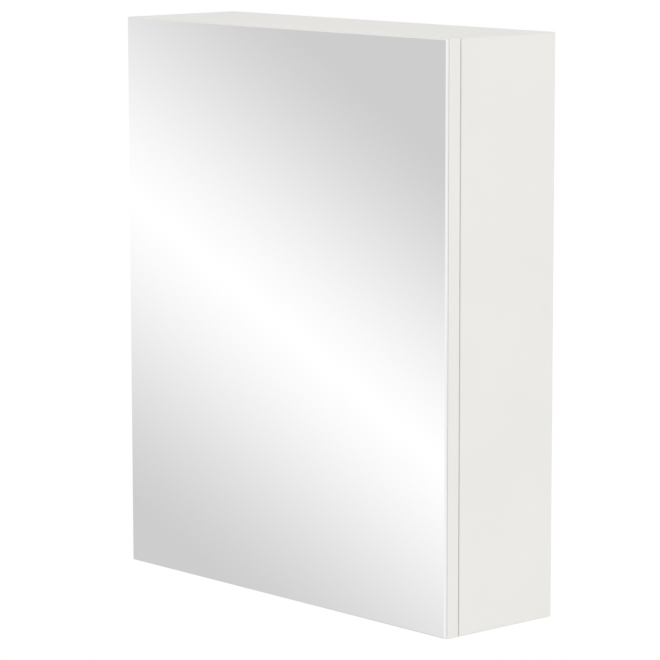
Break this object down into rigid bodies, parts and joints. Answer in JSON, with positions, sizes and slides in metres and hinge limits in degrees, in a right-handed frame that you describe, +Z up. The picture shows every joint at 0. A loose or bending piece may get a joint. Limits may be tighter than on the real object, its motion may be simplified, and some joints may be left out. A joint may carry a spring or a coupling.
{
  "type": "bathroom mirror cabinet",
  "caption": "Wall-hung white box cabinet with a frameless mirror door over its whole front, glass shelves, concealed cup hinges and rear hangers.",
  "frame": {"origin": "bottom centre of the closed cabinet's outer box, at the height of the side panels' lower ends", "axes": "+X to the viewer's right across the mirror, +Y back towards the wall, +Z up; the mirror faces -Y"},
  "size_m": [0.5, 0.15, 0.6],
  "materials": {
    "white_board": "satin white laminate",
    "back_board": "satin white laminate",
    "white_band": "satin",
    "mirror": "silvered float glass, polished arris",
    "foam_tape": "matt foam",
    "shelf_glass": "clear, polished edges",
    "dowel_wood": "bare beech",
    "white_plastic": "matt moulded",
    "clear_rubber": "soft clear",
    "zinc": "nickel-plated die casting",
    "zinc_sheet": "bright zinc-plated sheet",
    "nickel_steel": "bright nickel plate"
  },
  "bodies": {
    "carcass": {"back_panel": "back_board", "bottom_panel": "white_board", "cam_bolts": "nickel_steel", "cam_caps": "white_plastic", "cam_locks": "zinc", "cross_front_bands": "white_band", "dowels": "dowel_wood", "hanger_adjusting_screws": "nickel_steel", "hanger_fixing_screws": "nickel_steel", "hanger_hook_left": "nickel_steel", "hanger_hook_right": "nickel_steel", "hanger_housing_left": "white_plastic", "hanger_housing_right": "white_plastic", "hinge_arm_lower": "nickel_steel", "hinge_arm_pins_lower": "nickel_steel", "hinge_arm_pins_upper": "nickel_steel", "hinge_arm_screws_lower": "nickel_steel", "hinge_arm_screws_upper": "nickel_steel", "hinge_arm_upper": "nickel_steel", "hinge_plate_lower": "zinc", "hinge_plate_screws_lower": "nickel_steel", "hinge_plate_screws_upper": "nickel_steel", "hinge_plate_upper": "zinc", "hinge_spring_lower": "nickel_steel", "hinge_spring_upper": "nickel_steel", "shelf_lower": "shelf_glass", "shelf_pegs_lower": "nickel_steel", "shelf_pegs_upper": "nickel_steel", "shelf_sleeves_lower": "clear_rubber", "shelf_sleeves_upper": "clear_rubber", "shelf_upper": "shelf_glass", "side_end_bands": "white_band", "side_front_bands": "white_band", "side_panel_left": "white_board", "side_panel_right": "white_board", "top_panel": "white_board", "wall_plate_left": "zinc_sheet", "wall_plate_right": "zinc_sheet"},
    "outer_links": {"hinge_outer_link_lower": "nickel_steel", "hinge_outer_link_upper": "nickel_steel"},
    "inner_links": {"hinge_inner_link_lower": "zinc", "hinge_inner_link_upper": "zinc"},
    "door": {"door_board": "white_board", "door_bumpers": "clear_rubber", "door_end_bands": "white_band", "door_side_bands": "white_band", "hinge_cup_lower": "nickel_steel", "hinge_cup_pins_lower": "nickel_steel", "hinge_cup_pins_upper": "nickel_steel", "hinge_cup_screws_lower": "nickel_steel", "hinge_cup_screws_upper": "nickel_steel", "hinge_cup_upper": "nickel_steel", "mirror_glass": "mirror", "mirror_tape": "foam_tape"}
  },
  "joints": [
    {"name": "outer_link_swing", "type": "hinge", "parent": "carcass", "child": "outer_links", "pos_m": [-0.212, -0.0464, 0.3], "axis": [0, 0, 1], "range_deg": [0, 37.37]},
    {"name": "door_on_links", "type": "hinge", "parent": "outer_links", "child": "door", "pos_m": [-0.2378, -0.0588, 0.3], "axis": [0, 0, -1], "range_deg": [0, 132.37]},
    {"name": "inner_link_swing", "type": "hinge", "parent": "carcass", "child": "inner_links", "pos_m": [-0.224, -0.0499, 0.3], "axis": [0, 0, 1], "range_deg": [0, 44.67]}
  ],
  "couplings": [
    {"joint": "outer_link_swing", "follows": "door_on_links", "ratio": 0.28232},
    {"joint": "inner_link_swing", "follows": "door_on_links", "ratio": 0.33742}
  ]
}
